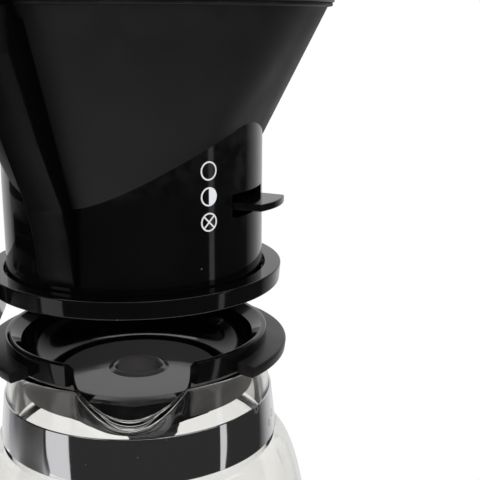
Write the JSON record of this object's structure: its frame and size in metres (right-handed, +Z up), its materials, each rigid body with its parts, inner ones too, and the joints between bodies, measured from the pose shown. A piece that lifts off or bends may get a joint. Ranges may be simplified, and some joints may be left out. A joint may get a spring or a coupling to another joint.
{
  "type": "drip coffee maker",
  "caption": "Drip coffee maker: metal base and tower, clear reservoir, swivelling outlet arm, wedge filter basket with drip-stop lever in a ring, glass carafe with hinged lid on a hot plate.",
  "frame": {"origin": "on the table, under the middle of the whole footprint, which includes the carafe's handle at the back", "axes": "+Z up, -Y is the front with the switches and the carafe's spout, +X is the side with the hot plate, -X the side with the tower"},
  "size_m": [0.31, 0.1879, 0.3566],
  "materials": {
    "brushed_metal": "brushed, satin",
    "zinc_screw": "plain",
    "cover_sheet": "matt black paint",
    "foot_rubber": "matt",
    "hot_plate_coat": "non-stick coating",
    "heater_metal": "oxidised",
    "boiler_metal": "plain",
    "thermostat": "plain",
    "black_satin": "satin moulded",
    "rocker_plastic": "gloss",
    "valve_body": "plain white",
    "silicone": "translucent silicone",
    "tube_glass": "clear",
    "tank_clear": "clear moulded plastic",
    "holder_gloss": "gloss black",
    "cone_matte": "fine matt grain",
    "handle_satin": "satin",
    "valve_grey": "plain",
    "mark_white": "white print",
    "carafe_clear": "clear, faint green at the edge",
    "band_steel": "mirror polished stainless",
    "lid_black": "satin flange, gloss dish"
  },
  "bodies": {
    "machine": {"base_housing": "brushed_metal", "bottom_cover": "cover_sheet", "foot_1": "foot_rubber", "foot_2": "foot_rubber", "foot_3": "foot_rubber", "foot_4": "foot_rubber", "cover_screws": "zinc_screw", "hot_plate": "hot_plate_coat", "plate_ring": "brushed_metal", "plate_heater": "heater_metal", "plate_thermostat": "thermostat", "switch_bezel_1": "black_satin", "switch_bezel_2": "black_satin", "cable_gland": "black_satin", "tower_shell": "brushed_metal", "tower_cap": "black_satin", "check_valve": "valve_body", "inlet_hose": "silicone", "boiler": "boiler_metal", "heater_coil": "heater_metal", "boiler_thermostat": "thermostat", "riser_hose": "silicone", "riser_tube": "tube_glass", "reservoir": "tank_clear", "reservoir_gasket": "foot_rubber", "reservoir_cover": "black_satin", "flap_pin": "zinc_screw", "basket_holder": "holder_gloss", "holder_screws": "zinc_screw"},
    "power_switch": {"power_rocker": "rocker_plastic"},
    "plate_switch": {"plate_rocker": "rocker_plastic"},
    "flap": {"fill_flap": "black_satin"},
    "outlet": {"outlet_arm": "black_satin", "spray_head": "black_satin"},
    "basket": {"basket_cone": "cone_matte", "basket_skirt": "holder_gloss", "basket_handle": "handle_satin", "basket_outlet": "holder_gloss", "lever_pin": "zinc_screw", "lever_bracket": "holder_gloss", "flow_marks": "mark_white"},
    "basket_cover": {"basket_lid": "black_satin"},
    "lever": {"drip_lever": "holder_gloss"},
    "valve": {"valve_plug": "valve_grey"},
    "carafe": {"carafe_glass": "carafe_clear", "carafe_band": "band_steel", "carafe_handle": "black_satin", "handle_screw": "zinc_screw", "lid_pin": "zinc_screw"},
    "carafe_cover": {"carafe_lid": "lid_black"}
  },
  "joints": [
    {"name": "power_rock", "type": "hinge", "parent": "machine", "child": "power_switch", "pos_m": [-0.106, -0.0883, 0.022], "axis": [-1, 0, 0], "range_deg": [0, 16]},
    {"name": "plate_rock", "type": "hinge", "parent": "machine", "child": "plate_switch", "pos_m": [-0.072, -0.0883, 0.022], "axis": [-1, 0, 0], "range_deg": [0, 16]},
    {"name": "flap_hinge", "type": "hinge", "parent": "machine", "child": "flap", "pos_m": [-0.107, -0.0085, 0.3457], "axis": [0, 1, 0], "range_deg": [0, 95]},
    {"name": "arm_swivel", "type": "hinge", "parent": "machine", "child": "outlet", "pos_m": [-0.089, -0.0085, 0.3502], "axis": [0, 0, 1], "range_deg": [0, 90]},
    {"name": "basket_lift", "type": "slide", "parent": "machine", "child": "basket", "axis": [0, 0, 1], "range_m": [0, 0.008]},
    {"name": "basket_lid_lift", "type": "slide", "parent": "basket", "child": "basket_cover", "axis": [0, 0, 1], "range_m": [0, 0.008]},
    {"name": "lever_tilt", "type": "hinge", "parent": "basket", "child": "lever", "pos_m": [0.05437, 0.00709, 0.2134], "axis": [-0.5195, -0.8545, 0], "range_deg": [-1.8, 1.8]},
    {"name": "valve_lift", "type": "slide", "parent": "basket", "child": "valve", "axis": [0, 0, 1], "range_m": [-0.00095, 0.00095]},
    {"name": "carafe_slide", "type": "slide", "parent": "machine", "child": "carafe", "axis": [1, 0, 0], "range_m": [0, 0.19]},
    {"name": "carafe_lid_hinge", "type": "hinge", "parent": "carafe", "child": "carafe_cover", "pos_m": [0.08368, 0.05169, 0.1953], "axis": [-0.9981, 0.061, 0], "range_deg": [0, 6]}
  ],
  "couplings": [
    {"joint": "valve_lift", "follows": "lever_tilt", "m_per_rad": 0.03}
  ]
}
